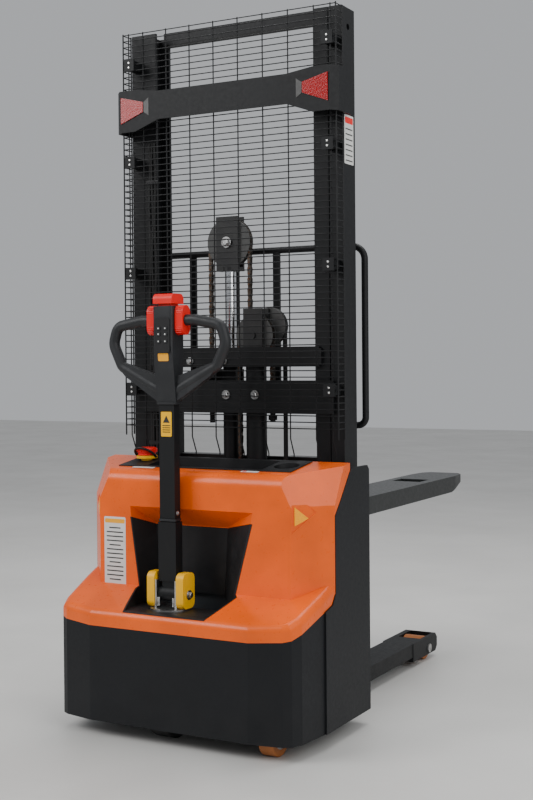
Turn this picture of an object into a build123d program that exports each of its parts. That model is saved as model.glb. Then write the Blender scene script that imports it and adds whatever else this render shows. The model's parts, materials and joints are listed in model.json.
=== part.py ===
from build123d import *
import os

# Walkie stacker with a two-stage free-lift mast and forks that lower over its support legs.
# +X is the right side, -Y is the tiller end, +Z is up and the floor is z = 0.

# ---- driving dimensions (mm) ----
TRUCK_HALF_WIDTH = 400
SKIRT_BOTTOM = 44
SIDE_PLATE = 8
DECK_TOP = 244
DECK_THICK = 8
BASE_TOP = 60
BULKHEAD_Y = -486

MAST_FRONT = -427
MAST_BACK = -342
MAST_MID = (MAST_FRONT + MAST_BACK) / 2
FLANGE = 10
OUTER_WEB = 359
OUTER_INSIDE = 318
INNER_WEB = 315
INNER_INSIDE = 272
MAST_TOP = 2057
INNER_BOTTOM = 75
ROLLER_RADIUS = 32

MAIN_AXIS = (54, -392)
MAIN_SHEAVE_Z = 1125
MAIN_PITCH = 55
HOSE_CENTRE = (84, -358, 1152)
HOSE_PITCH = 50
HOSE_RADIUS = 7
FREE_AXIS = (-52, -358)
FREE_SHEAVE_Z = 1409
FREE_PITCH = 68
CHAIN_HALF = 6
CHAIN_WIDE = 16
RUNNING_GAP = 0.05

FORK_TOP = 622
FORK_TIP = 812
FORK_IN = 105
FORK_OUT = 275
FORK_LOW = 566
FORK_SHEET = 6
LEG_IN = 158
LEG_OUT = 262
LEG_MID = (LEG_IN + LEG_OUT) / 2
LOAD_WHEEL_Y = 456
LOAD_WHEEL_RADIUS = 40

STEER = (-50, -708)
DRIVE_WHEEL_RADIUS = 90
PIVOT_Y = STEER[1]
PIVOT_Z = 400
THROTTLE_Z = 1165
CASTOR = (290, -702)
CASTOR_TRAIL = 32
CASTOR_RADIUS = 50

TRAY_HALF = 286
TRAY_FRONT = -620
TRAY_BACK = -485
CUP = (240, -555)
DISCONNECT = (-240, -540)
TOP_BACK = 763
TOP_SLOPE = 0.142
HOOD_BACK = -478
HOOD_FACE = -676
PEDESTAL_HOLE = 60
HOOD_WALL = 4

MESH_Y = -471
MESH_HALF = 363.5
MESH_BOTTOM = 807
MESH_TOP = 2055
WIRE = 4
ROW_PITCH = 73.6
ROW_COUNT = 17

os.makedirs("parts", exist_ok=True)


def save(builder, name):
    """Label a finished piece and write it to its own file."""
    builder.part.label = name
    export_step(builder.part, f"parts/{name}.step")


def block(x, y, z, mode=Mode.ADD):
    """A rectangular block between pairs of limits."""
    with Locations(((x[0] + x[1]) / 2, (y[0] + y[1]) / 2, (z[0] + z[1]) / 2)):
        Box(x[1] - x[0], y[1] - y[0], z[1] - z[0], mode=mode)


def rod(centre, radius, length, axis, mode=Mode.ADD):
    """A round bar centred on a point, along X, Y or Z."""
    turn = {"x": (0, 90, 0), "y": (90, 0, 0), "z": (0, 0, 0)}[axis]
    with Locations(centre):
        Cylinder(radius, length, rotation=turn, mode=mode)


def column(x, y, radius, z, mode=Mode.ADD):
    """An upright round bar between two heights."""
    rod((x, y, (z[0] + z[1]) / 2), radius, z[1] - z[0], "z", mode)


def prism(plane, points, depth, mode=Mode.ADD):
    """A closed outline on a plane, extruded along the plane's normal."""
    with BuildSketch(plane) as profile:
        with BuildLine():
            Polyline(*points, close=True)
        make_face()
    extrude(profile.sketch, amount=depth, mode=mode)


def both_sides(points):
    """A half outline running from the centre line outwards, closed by its mirror image."""
    return points + [(-x, y) for x, y in reversed(points)]


def side_plane(x):
    """A plane at this X whose sketch axes are Y and Z."""
    return Plane.YZ.offset(x)


def front_plane(y):
    """A plane at this Y whose sketch axes are X and Z, with its normal towards -Y."""
    return Plane.XZ.offset(-y)


# ---- chassis: floor frame, skirt and side plates ----

SKIRT_PLAN = [(255, -812), (349, -794), (370, -782), (383, -749), (395, -638)]
SIDE_OUTLINE = [
    (-350, SKIRT_BOTTOM), (-638, SKIRT_BOTTOM), (-638, 372), (-595, 384), (-576, 413),
    (-576, 626), (-542, 664), (-474, 745), (-466, 748), (-362, 748), (-350, 736),
]


def rim_height(y):
    """Height of the sloping joint between the skirt and the hood."""
    return 311 + 0.35 * (y + 812)


with BuildPart() as base_frame:
    block((-392, 392), (BULKHEAD_Y, -340), (SKIRT_BOTTOM, BASE_TOP))
    block((-380, 380), (BULKHEAD_Y, BULKHEAD_Y + 8), (BASE_TOP, DECK_TOP))
    with BuildSketch(Plane.XY.offset(DECK_TOP - DECK_THICK)):
        with BuildLine():
            Polyline(*both_sides([(245, -800), (340, -785), (360, -770), (372, -740), (380, -480)]), close=True)
        make_face()
    extrude(amount=DECK_THICK)
    column(*STEER, 94, (215, DECK_TOP - DECK_THICK))
    column(*CASTOR, 32, (140, DECK_TOP - DECK_THICK))
    for side in (-1, 1):
        prism(side_plane(side * 330 - 4), [(-478, BASE_TOP), (-440, BASE_TOP), (-478, 180)], 8)
    column(*STEER, 80 + RUNNING_GAP, (200, 260), Mode.SUBTRACT)
    column(*CASTOR, 10 + RUNNING_GAP, (130, 180), Mode.SUBTRACT)
save(base_frame, "base_frame")

with BuildPart() as front_skirt:
    with BuildSketch(Plane.XY.offset(SKIRT_BOTTOM)):
        with BuildLine():
            Polyline(*both_sides(SKIRT_PLAN), close=True)
        make_face()
        with BuildLine():
            Polyline(*both_sides([(254, -807), (346, -790), (366, -779), (378, -748), (390, -637)]), close=True)
        make_face(mode=Mode.SUBTRACT)
    extrude(amount=400)
    fillet(front_skirt.edges().filter_by(Axis.Z).sort_by(Axis.Y)[:2], 20)
    block((-389, 389), (-660, -630), (0, 500), Mode.SUBTRACT)
    slope = Plane(origin=(0, -812, rim_height(-812)), z_dir=(0, -0.35, 1))
    split(bisect_by=slope, keep=Keep.BOTTOM)
save(front_skirt, "front_skirt")

with BuildPart() as side_plates:
    prism(side_plane(TRUCK_HALF_WIDTH - SIDE_PLATE), SIDE_OUTLINE, SIDE_PLATE)
    mirror(about=Plane.YZ)
save(side_plates, "side_plates")

# ---- hood with its tiller niche, tray and battery compartment ----

NICHE_TOP = [(-176, -600), (78, -600), (222, -688), (227, -830), (-223, -830), (-216, -688)]
NICHE_FLOOR = [(-150, -600), (60, -600), (135, -690), (107, -830), (-138, -830), (-172, -690)]
NICHE_LOW = 358
NICHE_HIGH = 650
LIP_Z = 634
LINER_Z = 603
LINER_SLOPE = (0, 0.335, 0.942)


def niche_volume(grow):
    """The open space around the tiller's foot under its overhanging ceiling, larger all round by grow."""
    ceiling = Plane(origin=(0, HOOD_FACE, LIP_Z), z_dir=(0, 0.593, 0.805)).offset(grow)
    with BuildPart() as space:
        for z, outline in ((NICHE_LOW - grow, NICHE_FLOOR), (NICHE_HIGH, NICHE_TOP)):
            with BuildSketch(Plane.XY.offset(z)):
                with BuildLine():
                    Polyline(*outline, close=True)
                make_face()
                if grow:
                    offset(amount=grow, kind=Kind.INTERSECTION)
        loft(ruled=True)
        split(bisect_by=ceiling, keep=Keep.BOTTOM)
    return space.part


def lined(grow, clearance):
    """The lower part of the niche that the black liner covers."""
    with BuildPart() as space:
        add(niche_volume(grow))
        split(bisect_by=Plane(origin=(0, HOOD_FACE, LINER_Z + clearance), z_dir=LINER_SLOPE), keep=Keep.BOTTOM)
    return space.part


def hood_volume(inset):
    """The hood's outer body, drawn in all round by inset."""
    rim = both_sides(SKIRT_PLAN + [(398, -570), (398, HOOD_BACK - 8)])
    upper = both_sides([(314, HOOD_FACE), (399, -577), (399, HOOD_BACK)])
    floor_cut = Plane(origin=(0, -812, rim_height(-812) - 2 * inset), z_dir=(0, -0.35, 1))
    ledge_cut = Plane(origin=(0, -812, 352 - inset), z_dir=(0, -0.4, 1))
    with BuildPart() as low:
        with BuildSketch(Plane.XY.offset(290 - 2 * inset)):
            with BuildLine():
                Polyline(*rim, close=True)
            make_face()
            if inset:
                offset(amount=-inset, kind=Kind.INTERSECTION)
        extrude(amount=200)
        split(bisect_by=floor_cut, keep=Keep.TOP)
        split(bisect_by=ledge_cut, keep=Keep.BOTTOM)
        ledge_edges = low.faces().filter_by(lambda f: f.normal_at().Z > 0.7).sort_by(Axis.Z)[-1].edges()
        fillet(ledge_edges.filter_by(lambda e: e.center().Y < -640), 24)
    with BuildPart() as body:
        with BuildSketch(Plane.XY.offset(392)):
            with BuildLine():
                Polyline(*upper, close=True)
            make_face()
            if inset:
                offset(amount=-inset, kind=Kind.INTERSECTION)
        extrude(amount=400)
        top_cut = Plane(origin=(0, HOOD_BACK, TOP_BACK - inset), z_dir=(0, -TOP_SLOPE, 1))
        split(bisect_by=top_cut, keep=Keep.BOTTOM)
        for side in (-1, 1):
            lean = Plane(origin=(side * (356 - inset), -627, 655), z_dir=(side * 0.759, -0.651, 0.374))
            split(bisect_by=lean, keep=Keep.BOTTOM)
        front_edge = body.faces().sort_by(Axis.Z)[-1].edges().sort_by(Axis.Y)[0]
        fillet(front_edge, 38)
        add(low.part)
    return body.part


FACET = Plane(origin=(334, -652.7, 634), x_dir=(0.651, 0.759, 0), z_dir=(0.759, -0.651, 0))
with BuildPart() as facet_recess:
    prism(FACET.offset(-2), [(-27, -50), (-27, 66), (44, 4)], 12)
    mirror(about=Plane.YZ)

with BuildPart() as hood:
    add(hood_volume(0))
    add(niche_volume(0), mode=Mode.SUBTRACT)
    add(lined(HOOD_WALL, 0.5), mode=Mode.SUBTRACT)
    with BuildPart(mode=Mode.PRIVATE) as hollow:
        add(hood_volume(HOOD_WALL))
        add(niche_volume(2 * HOOD_WALL), mode=Mode.SUBTRACT)
    add(hollow.part, mode=Mode.SUBTRACT)
    column(*STEER, PEDESTAL_HOLE, (200, 372), Mode.SUBTRACT)
    block((-280, 280), (-616, -489), (700, 800), Mode.SUBTRACT)
    for side_start in (TRUCK_HALF_WIDTH - SIDE_PLATE - 1, -TRUCK_HALF_WIDTH - 2):
        prism(side_plane(side_start), [
            (-340, 40), (-639.5, 40), (-639.5, 373), (-596, 385.5), (-577.5, 413),
            (-577.5, 627), (-543, 665), (-475, 746.5), (-466, 749.5), (-340, 749.5),
        ], SIDE_PLATE + 3, Mode.SUBTRACT)
    add(facet_recess.part, mode=Mode.SUBTRACT)
save(hood, "hood")

with BuildPart() as niche_liner:
    add(lined(HOOD_WALL - 0.5, 0))
    add(niche_volume(0), mode=Mode.SUBTRACT)
    add(hood_volume(0), mode=Mode.INTERSECT)
    column(*STEER, PEDESTAL_HOLE, (300, 372), Mode.SUBTRACT)
save(niche_liner, "niche_liner")


def top_height(y):
    """Height of the hood's sloping top."""
    return TOP_BACK + TOP_SLOPE * (y - HOOD_BACK)


with BuildPart() as storage_tray:
    prism(side_plane(-TRAY_HALF), [
        (TRAY_FRONT, top_height(TRAY_FRONT) + 0.2), (TRAY_BACK, top_height(TRAY_BACK) + 0.2),
        (TRAY_BACK, top_height(TRAY_BACK) + 3), (TRAY_FRONT, top_height(TRAY_FRONT) + 3),
    ], 2 * TRAY_HALF)
    block((-193, 193), (-612, -494), (697, 790))
    column(*CUP, 39, (692, 790))
    split(bisect_by=Plane(origin=(0, HOOD_BACK, TOP_BACK + 3), z_dir=(0, -TOP_SLOPE, 1)), keep=Keep.BOTTOM)
    block((-190, 190), (-609, -497), (700, 800), Mode.SUBTRACT)
    column(*CUP, 36, (695, 800), Mode.SUBTRACT)
    column(*DISCONNECT, 17.5, (740, 800), Mode.SUBTRACT)
save(storage_tray, "storage_tray")

with BuildPart() as battery:
    block((-300, 300), (-586, -492), (DECK_TOP + 1, 640))
    for x in (-240, 240):
        column(x, -540, 12, (640, 660))
save(battery, "battery")

with BuildPart() as power_unit:
    block((222, 368), (-672, -606), (DECK_TOP + 1, 330))
    rod((295, -639, 380), 32, 100, "z")
save(power_unit, "power_unit")

with BuildPart() as controller:
    block((-370, -232), (-672, -606), (DECK_TOP + 1, 330))
    for x in (-350, -325, -300, -275, -250):
        block((x - 3, x + 3), (-668, -610), (330, 345))
save(controller, "controller")

BASE_RING_Z = top_height(DISCONNECT[1] + 31) + 3.2
with BuildPart() as disconnect_base:
    column(*DISCONNECT, 31, (BASE_RING_Z, BASE_RING_Z + 8))
    column(*DISCONNECT, 17, (BASE_RING_Z - 60, BASE_RING_Z))
    column(*DISCONNECT, 11, (BASE_RING_Z - 50, BASE_RING_Z + 20), Mode.SUBTRACT)
save(disconnect_base, "disconnect_base")

with BuildPart() as disconnect_handle:
    column(*DISCONNECT, 10, (BASE_RING_Z - 14, BASE_RING_Z + 16))
    column(*DISCONNECT, 26, (BASE_RING_Z + 9, BASE_RING_Z + 18))
    column(*DISCONNECT, 30, (BASE_RING_Z + 18, BASE_RING_Z + 32))
    fillet(disconnect_handle.edges().sort_by(Axis.Z)[-1], 5)
save(disconnect_handle, "disconnect_handle")

with BuildPart() as hood_reflectors:
    prism(FACET.offset(-1.8), [(-19, -30), (-19, 21), (22, -11)], 3)
    mirror(about=Plane.YZ)
save(hood_reflectors, "hood_reflectors")

# ---- outer mast, on the chassis ----


def channel(web, inside, z):
    """An upright C-section rail, open towards the centre line."""
    block((inside, web), (MAST_FRONT, MAST_BACK), z)
    block((inside - 1, web - FLANGE), (MAST_FRONT + FLANGE, MAST_BACK - FLANGE), z, Mode.SUBTRACT)


with BuildPart() as outer_rails:
    channel(OUTER_WEB, OUTER_INSIDE, (BASE_TOP, MAST_TOP))
    rod((OUTER_WEB, MAST_MID, 2003), 9, 40, "x", Mode.SUBTRACT)
    mirror(about=Plane.YZ)
save(outer_rails, "outer_rails")

with BuildPart() as outer_crossbar:
    block((-330, 330), (-445, MAST_FRONT), (896, 992))
    block((-290, 290), (-441, -420), (904, 984), Mode.SUBTRACT)
    block((-317, 317), (-429, -420), (890, 1000), Mode.SUBTRACT)
    for x in (-19, 79):
        rod((x, -446.5, 950), 8, 9, "y")
    block((95, 125), (-443, -378), (900, 930))
    rod((109, -392, 890), 8, 40, "z")
    rod((109, -392, 880), 13, 12, "z")
save(outer_crossbar, "outer_crossbar")

with BuildPart() as main_barrel:
    column(*MAIN_AXIS, 31, (BASE_TOP, 1040))
    column(*MAIN_AXIS, 20 + RUNNING_GAP, (72, 1041), Mode.SUBTRACT)
save(main_barrel, "main_barrel")

COLUMNS = (41.5, 124.6, 207.6, 290.6, 343)
ROWS = [MESH_TOP - WIRE / 2 - ROW_PITCH * row for row in range(ROW_COUNT)]
with BuildPart() as mesh_guard:
    with BuildSketch(front_plane(MESH_Y + WIRE / 2)):
        for x in COLUMNS + (MESH_HALF - WIRE / 2,):
            with Locations((x, (MESH_BOTTOM + MESH_TOP) / 2), (-x, (MESH_BOTTOM + MESH_TOP) / 2)):
                Rectangle(WIRE, MESH_TOP - MESH_BOTTOM)
        for z in ROWS:
            with Locations((0, z)):
                Rectangle(2 * MESH_HALF, WIRE)
    extrude(amount=WIRE)
    for x in COLUMNS:
        for side in (-1, 1):
            prism(side_plane(side * x - WIRE / 2), [
                (MESH_Y - 2, 820), (MESH_Y + 2, 820), (-448, 792), (-448, 770), (-452, 770), (-452, 790),
            ], WIRE)
save(mesh_guard, "mesh_guard")

WING_FRONT = MESH_Y + WIRE / 2 + 0.2
with BuildPart() as mesh_wings:
    with BuildSketch(side_plane(MESH_HALF - WIRE)):
        for y in (WING_FRONT + WIRE / 2, MAST_FRONT - WIRE / 2):
            with Locations((y, (MESH_BOTTOM + MESH_TOP) / 2)):
                Rectangle(WIRE, MESH_TOP - MESH_BOTTOM)
        for z in ROWS:
            with Locations(((WING_FRONT + MAST_FRONT) / 2, z)):
                Rectangle(MAST_FRONT - WING_FRONT, WIRE)
    extrude(amount=WIRE)
    mirror(about=Plane.YZ)
save(mesh_wings, "mesh_wings")

CLAMPS = ((965, 330.5), (1320, 322), (1660, 322), (1957, 322))
with BuildPart() as mesh_clamps:
    for z, inner in CLAMPS:
        block((inner, 350), (MESH_Y + 2.2, MAST_FRONT), (z - 14, z + 14))
        block((318, 354), (MESH_Y - 8, MESH_Y - 2.2), (z - 18, z + 18))
    mirror(about=Plane.YZ)
save(mesh_clamps, "mesh_clamps")

PANEL_FRONT = -500
PANEL_BACK = -494
PANEL_LOW = 1748
PANEL_HIGH = 1874
with BuildPart() as reflector_panel:
    prism(Plane.XY.offset(PANEL_LOW), [
        (299, PANEL_BACK), (299, PANEL_FRONT), (356, PANEL_FRONT), (375, -480), (375, -398),
        (368, -398), (368, -477), (353, PANEL_BACK)], PANEL_HIGH - PANEL_LOW)
    block((300, 310), (PANEL_BACK, MESH_Y - 2.2), (1790, 1830))
    mirror(about=Plane.YZ)
    prism(front_plane(PANEL_BACK), both_sides([
        (170, 1863), (217, 1863), (300, PANEL_HIGH), (300, PANEL_LOW), (217, 1778), (170, 1778)]), 6)
save(reflector_panel, "reflector_panel")

with BuildPart() as panel_reflectors:
    for side in (-1, 1):
        prism(front_plane(PANEL_FRONT - 0.3), [
            (side * 270, 1804), (side * 350, 1774), (side * 350, 1854), (side * 270, 1834)], 2.5)
save(panel_reflectors, "panel_reflectors")

# ---- support legs and load wheels ----

with BuildPart() as support_legs:
    block((LEG_IN, LEG_OUT), (-340, 311), (36, 82))
    block((LEG_IN - 6, LEG_OUT + 2), (311, 532), (20, 82))
    block((LEG_IN + 6, LEG_OUT - 6), (-330, 300), (30, 76), Mode.SUBTRACT)
    block((172, 253), (400, 512), (0, 90), Mode.SUBTRACT)
    chamfer(support_legs.edges().filter_by(Axis.X).group_by(Axis.Y)[-1], 16)
    rod((LEG_MID, LOAD_WHEEL_Y, 40), 10, 200, "x", Mode.SUBTRACT)
    mirror(about=Plane.YZ)
save(support_legs, "support_legs")

with BuildPart() as load_axles:
    rod((208, LOAD_WHEEL_Y, 40), 9.95, 112, "x")
    rod((266, LOAD_WHEEL_Y, 40), 15, 4, "x")
    mirror(about=Plane.YZ)
save(load_axles, "load_axles")

for name, side in (("left", -1), ("right", 1)):
    with BuildPart() as load_wheel:
        rod((side * 212.5, LOAD_WHEEL_Y, 40), LOAD_WHEEL_RADIUS, 75, "x")
        fillet(load_wheel.edges().filter_by(GeomType.CIRCLE), 3)
        rod((side * 212.5, LOAD_WHEEL_Y, 40), 10, 80, "x", Mode.SUBTRACT)
    save(load_wheel, f"load_wheel_{name}")

# ---- main lift: rod, yoke, chain and hose ----


def strand(x, y, z, name):
    """One straight run of leaf chain."""
    with BuildPart() as run:
        block((x - CHAIN_HALF, x + CHAIN_HALF), (y - CHAIN_WIDE / 2, y + CHAIN_WIDE / 2), z)
    save(run, name)


def half_ring(centre, inner, outer, width, name):
    """The half turn of chain or hose over a pulley, with its axis along Y."""
    with BuildPart() as ring:
        rod(centre, outer, width, "y")
        rod(centre, inner, width + 2, "y", Mode.SUBTRACT)
        block((centre[0] - 200, centre[0] + 200), (centre[1] - 50, centre[1] + 50),
              (centre[2] - 200, centre[2]), Mode.SUBTRACT)
    save(ring, name)


def pulley(centre, floor, flange, width, flange_width, bore, name):
    """A flanged pulley with its axis along Y."""
    with BuildPart() as wheel:
        rod(centre, flange, width + 2 * flange_width, "y")
        rod(centre, flange + 1, width, "y", Mode.SUBTRACT)
        rod(centre, floor, width, "y")
        rod(centre, bore, width + 20, "y", Mode.SUBTRACT)
    save(wheel, name)


MAIN_SHEAVE = (*MAIN_AXIS, MAIN_SHEAVE_Z)
FREE_SHEAVE = (*FREE_AXIS, FREE_SHEAVE_Z)

strand(MAIN_AXIS[0] + MAIN_PITCH, MAIN_AXIS[1], (930, MAIN_SHEAVE_Z), "main_chain_fixed")
strand(MAIN_AXIS[0] - MAIN_PITCH, MAIN_AXIS[1], (91, MAIN_SHEAVE_Z), "main_chain_moving")
strand(FREE_AXIS[0] - FREE_PITCH, FREE_AXIS[1], (1025, FREE_SHEAVE_Z), "free_chain_fixed")
strand(FREE_AXIS[0] + FREE_PITCH, FREE_AXIS[1], (750, FREE_SHEAVE_Z), "free_chain_moving")
half_ring(MAIN_SHEAVE, MAIN_PITCH - CHAIN_HALF, MAIN_PITCH + CHAIN_HALF, CHAIN_WIDE, "main_chain_wrap")
half_ring(FREE_SHEAVE, FREE_PITCH - CHAIN_HALF, FREE_PITCH + CHAIN_HALF, CHAIN_WIDE, "free_chain_wrap")
pulley(MAIN_SHEAVE, MAIN_PITCH - CHAIN_HALF - 0.1, 62, 17, 2.5, 8 + RUNNING_GAP, "main_sheave")
pulley(FREE_SHEAVE, FREE_PITCH - CHAIN_HALF - 0.1, 74, 17, 2, 9 + RUNNING_GAP, "free_lift_sheave")
pulley(HOSE_CENTRE, HOSE_PITCH - HOSE_RADIUS - 0.1, 56, 15, 1.5, 6 + RUNNING_GAP, "hose_pulley")

with BuildPart() as hose_fixed:
    column(HOSE_CENTRE[0] - HOSE_PITCH, HOSE_CENTRE[1], HOSE_RADIUS, (BASE_TOP, HOSE_CENTRE[2]))
save(hose_fixed, "hose_fixed")

with BuildPart() as hose_moving:
    column(HOSE_CENTRE[0] + HOSE_PITCH, HOSE_CENTRE[1], HOSE_RADIUS, (91, HOSE_CENTRE[2]))
save(hose_moving, "hose_moving")

with BuildPart() as hose_wrap:
    with BuildLine() as hose_arc:
        CenterArc((0, 0, 0), HOSE_PITCH, 0, 180)
    arc = Plane(origin=HOSE_CENTRE, x_dir=(1, 0, 0), z_dir=(0, -1, 0)) * hose_arc.line
    with BuildSketch(Plane(origin=arc @ 0, z_dir=arc % 0)):
        Circle(HOSE_RADIUS)
    sweep(path=arc)
save(hose_wrap, "hose_wrap")

with BuildPart() as main_piston_rod:
    column(*MAIN_AXIS, 20, (250, 1046))
    block((24, 88), (-416, -368), (1044, 1060))
    for front in (-416, -376):
        block((24, 88), (front, front + 8), (1044, 1205))
    rod((HOSE_CENTRE[0], -372, HOSE_CENTRE[2]), 12, 8, "y")
    rod((HOSE_CENTRE[0], -360, HOSE_CENTRE[2]), 6, 24, "y")
    rod((MAIN_AXIS[0], MAIN_AXIS[1], MAIN_SHEAVE_Z), 8, 48, "y")
    rod((MAIN_AXIS[0], -418, MAIN_SHEAVE_Z), 11, 5, "y")
save(main_piston_rod, "main_piston_rod")

# ---- inner mast ----

with BuildPart() as inner_rails:
    channel(INNER_WEB, INNER_INSIDE, (INNER_BOTTOM, MAST_TOP))
    mirror(about=Plane.YZ)
save(inner_rails, "inner_rails")

with BuildPart() as inner_crossbars:
    block((-INNER_INSIDE, INNER_INSIDE), (-380, MAST_BACK), (2029, 2066))
    block((-285, 285), (-437, MAST_FRONT), (1032, 1090))
    block((-130, -92), (-428, -384), (990, 1060))
    block((-130, -21), (-385, -334), (983, 1025))
    rod((-120, FREE_AXIS[1], 923), 8, 124, "z")
    rod((-120, FREE_AXIS[1], 900), 13, 12, "z")
    for x in (-149, -32):
        rod((x, -438.5, 1050), 8, 9, "y")
    column(*FREE_AXIS, 25.1, (900, 1100), Mode.SUBTRACT)
    for side in (-1, 1):
        block(sorted((side * 285, side * 292)), (-437, MAST_FRONT), (1040, 1084))
save(inner_crossbars, "inner_crossbars")

with BuildPart() as inner_bottom_tie:
    block((-INNER_INSIDE, INNER_INSIDE), (-410, -341), (INNER_BOTTOM, 91))
    column(*MAIN_AXIS, 36, (70, 100), Mode.SUBTRACT)
    block((80, 126.5), (-420, -370), (70, 100), Mode.SUBTRACT)
    column(HOSE_CENTRE[0] - HOSE_PITCH, HOSE_CENTRE[1], 11, (70, 100), Mode.SUBTRACT)
save(inner_bottom_tie, "inner_bottom_tie")

with BuildPart() as inner_mast_rollers:
    rod((332, MAST_MID, 130), ROLLER_RADIUS, 28, "x")
    rod((316, MAST_MID, 130), 12, 22, "x")
    block((304, 315.2), (-400, -370), (110, 150), Mode.SUBTRACT)
    mirror(about=Plane.YZ)
save(inner_mast_rollers, "inner_mast_rollers")

with BuildPart() as free_lift_barrel:
    column(*FREE_AXIS, 25, (91, 1053))
    column(*FREE_AXIS, 17 + RUNNING_GAP, (105, 1054), Mode.SUBTRACT)
save(free_lift_barrel, "free_lift_barrel")

with BuildPart() as free_lift_rod:
    column(*FREE_AXIS, 17, (380, 1325))
    column(*FREE_AXIS, 24, (1320, 1334))
    for front in (-378, -346):
        block((-90, -14), (front, front + 8), (1324, 1487))
    block((-90, -14), (-378, -338), (1322, 1334))
    rod(FREE_SHEAVE, 9, 42, "y")
save(free_lift_rod, "free_lift_rod")

# ---- carriage, forks and backrest ----

with BuildPart() as carriage_frame:
    for side in (-1, 1):
        block(sorted((side * 255, side * 267)), (-395, -320), (632, 985))
        block(sorted((side * 276, side * 284)), (-320, -275), (625, 985))
    block((-300, 300), (-328, -312), (890, 985))
    block((-284, 284), (-328, -312), (625, 761))
    block((7, 24), (-366, -327), (700, 750))
save(carriage_frame, "carriage_frame")

for name, z in (("lower", 680), ("upper", 940)):
    with BuildPart() as rollers:
        rod((288.5, MAST_MID, z), ROLLER_RADIUS, 29, "x")
        rod((271, MAST_MID, z), 10, 7, "x")
        mirror(about=Plane.YZ)
    save(rollers, f"carriage_rollers_{name}")

for name, side in (("left", -1), ("right", 1)):
    with BuildPart() as fork:
        with BuildSketch(Plane.XY.offset(FORK_LOW)):
            with BuildLine():
                Polyline((FORK_IN, -311.8), (FORK_OUT, -311.8), (FORK_OUT, 700), (266, 780),
                         (244, FORK_TIP), (136, FORK_TIP), (114, 780), (FORK_IN, 700), close=True)
            make_face()
        extrude(amount=FORK_TOP - FORK_LOW)
        prism(side_plane(FORK_IN - 5), [(640, 560), (830, 560), (830, 602), (790, 596)], 190, Mode.SUBTRACT)
        block((FORK_IN + FORK_SHEET, FORK_OUT - FORK_SHEET), (-340, 620), (560, FORK_TOP - FORK_SHEET), Mode.SUBTRACT)
        block((FORK_IN + 3, FORK_OUT - 3), (-311.8, -272), (616, 761))
        block((136, 241), (437, 523), (600, 630), Mode.SUBTRACT)
    if side < 0:
        with BuildPart() as fork_copy:
            add(fork.part.mirror(Plane.YZ))
        save(fork_copy, f"fork_{name}")
    else:
        save(fork, f"fork_{name}")

with BuildPart() as backrest:
    with BuildLine() as hoop:
        FilletPolyline((-300, -288, 858), (-363, -288, 858), (-363, -288, 1385), (363, -288, 1385),
                       (363, -288, 858), (300, -288, 858), radius=(24, 40, 40, 24))
    with BuildSketch(Plane(origin=hoop.line @ 0, z_dir=hoop.line % 0)):
        Circle(10)
    sweep(path=hoop.line)
    for side in (-1, 1):
        block(sorted((side * 284.2, side * 302)), (-300, -277), (846, 870))
    for x in (-226, -72, 72, 226):
        block((x - 11, x + 11), (-296, -287), (985, 1383))
        block((x - 11, x + 11), (-311.8, -287), (900, 990))
save(backrest, "backrest")

# ---- drive unit and tiller ----

with BuildPart() as drive_motor:
    column(*STEER, 70, (262, 338))
    column(*STEER, 60, (338, 345))
    fillet(drive_motor.edges().group_by(Axis.Z)[-1], 4)
save(drive_motor, "drive_motor")

with BuildPart() as drive_gearbox:
    column(*STEER, 80, (200, 262))
    block((STEER[0] + 32, STEER[0] + 71), (STEER[1] - 38, STEER[1] + 38), (90, 201))
    rod((STEER[0] + 51.5, STEER[1], DRIVE_WHEEL_RADIUS), 38, 39, "x")
    rod((STEER[0] + 1, STEER[1], DRIVE_WHEEL_RADIUS), 15, 64, "x")
save(drive_gearbox, "drive_gearbox")

with BuildPart() as drive_wheel:
    rod((STEER[0], STEER[1], DRIVE_WHEEL_RADIUS), DRIVE_WHEEL_RADIUS, 60, "x")
    fillet(drive_wheel.edges().filter_by(GeomType.CIRCLE), 5)
    rod((STEER[0], STEER[1], DRIVE_WHEEL_RADIUS), 15 + RUNNING_GAP, 80, "x", Mode.SUBTRACT)
save(drive_wheel, "drive_wheel")

with BuildPart() as tiller_bracket:
    column(*STEER, PEDESTAL_HOLE - 2, (345, 362))
    for x in (STEER[0] - 36, STEER[0] + 30):
        block((x, x + 6), (PIVOT_Y - 27, PIVOT_Y + 27), (360, 440))
    rod((STEER[0], PIVOT_Y, PIVOT_Z), 8, 72, "x")
save(tiller_bracket, "tiller_bracket")

with BuildPart() as tiller_guards:
    for x in (STEER[0] - 60, STEER[0] + 36.1):
        block((x, x + 23.9), (PIVOT_Y - 30, PIVOT_Y + 30), (362.2, 461))
    fillet(tiller_guards.edges().filter_by(Axis.X), 18)
save(tiller_guards, "tiller_guards")

with BuildPart() as tiller_post:
    rod((STEER[0], PIVOT_Y, PIVOT_Z), 22, 58, "x")
    for half_width, half_depth, z in ((20, 13, (400, 440)), (29, 17, (436, 601)), (25, 14, (600, 930))):
        block((STEER[0] - half_width, STEER[0] + half_width), (PIVOT_Y - half_depth, PIVOT_Y + half_depth), z)
    rod((STEER[0], PIVOT_Y, PIVOT_Z), 8 + RUNNING_GAP, 80, "x", Mode.SUBTRACT)
save(tiller_post, "tiller_post")

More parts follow.
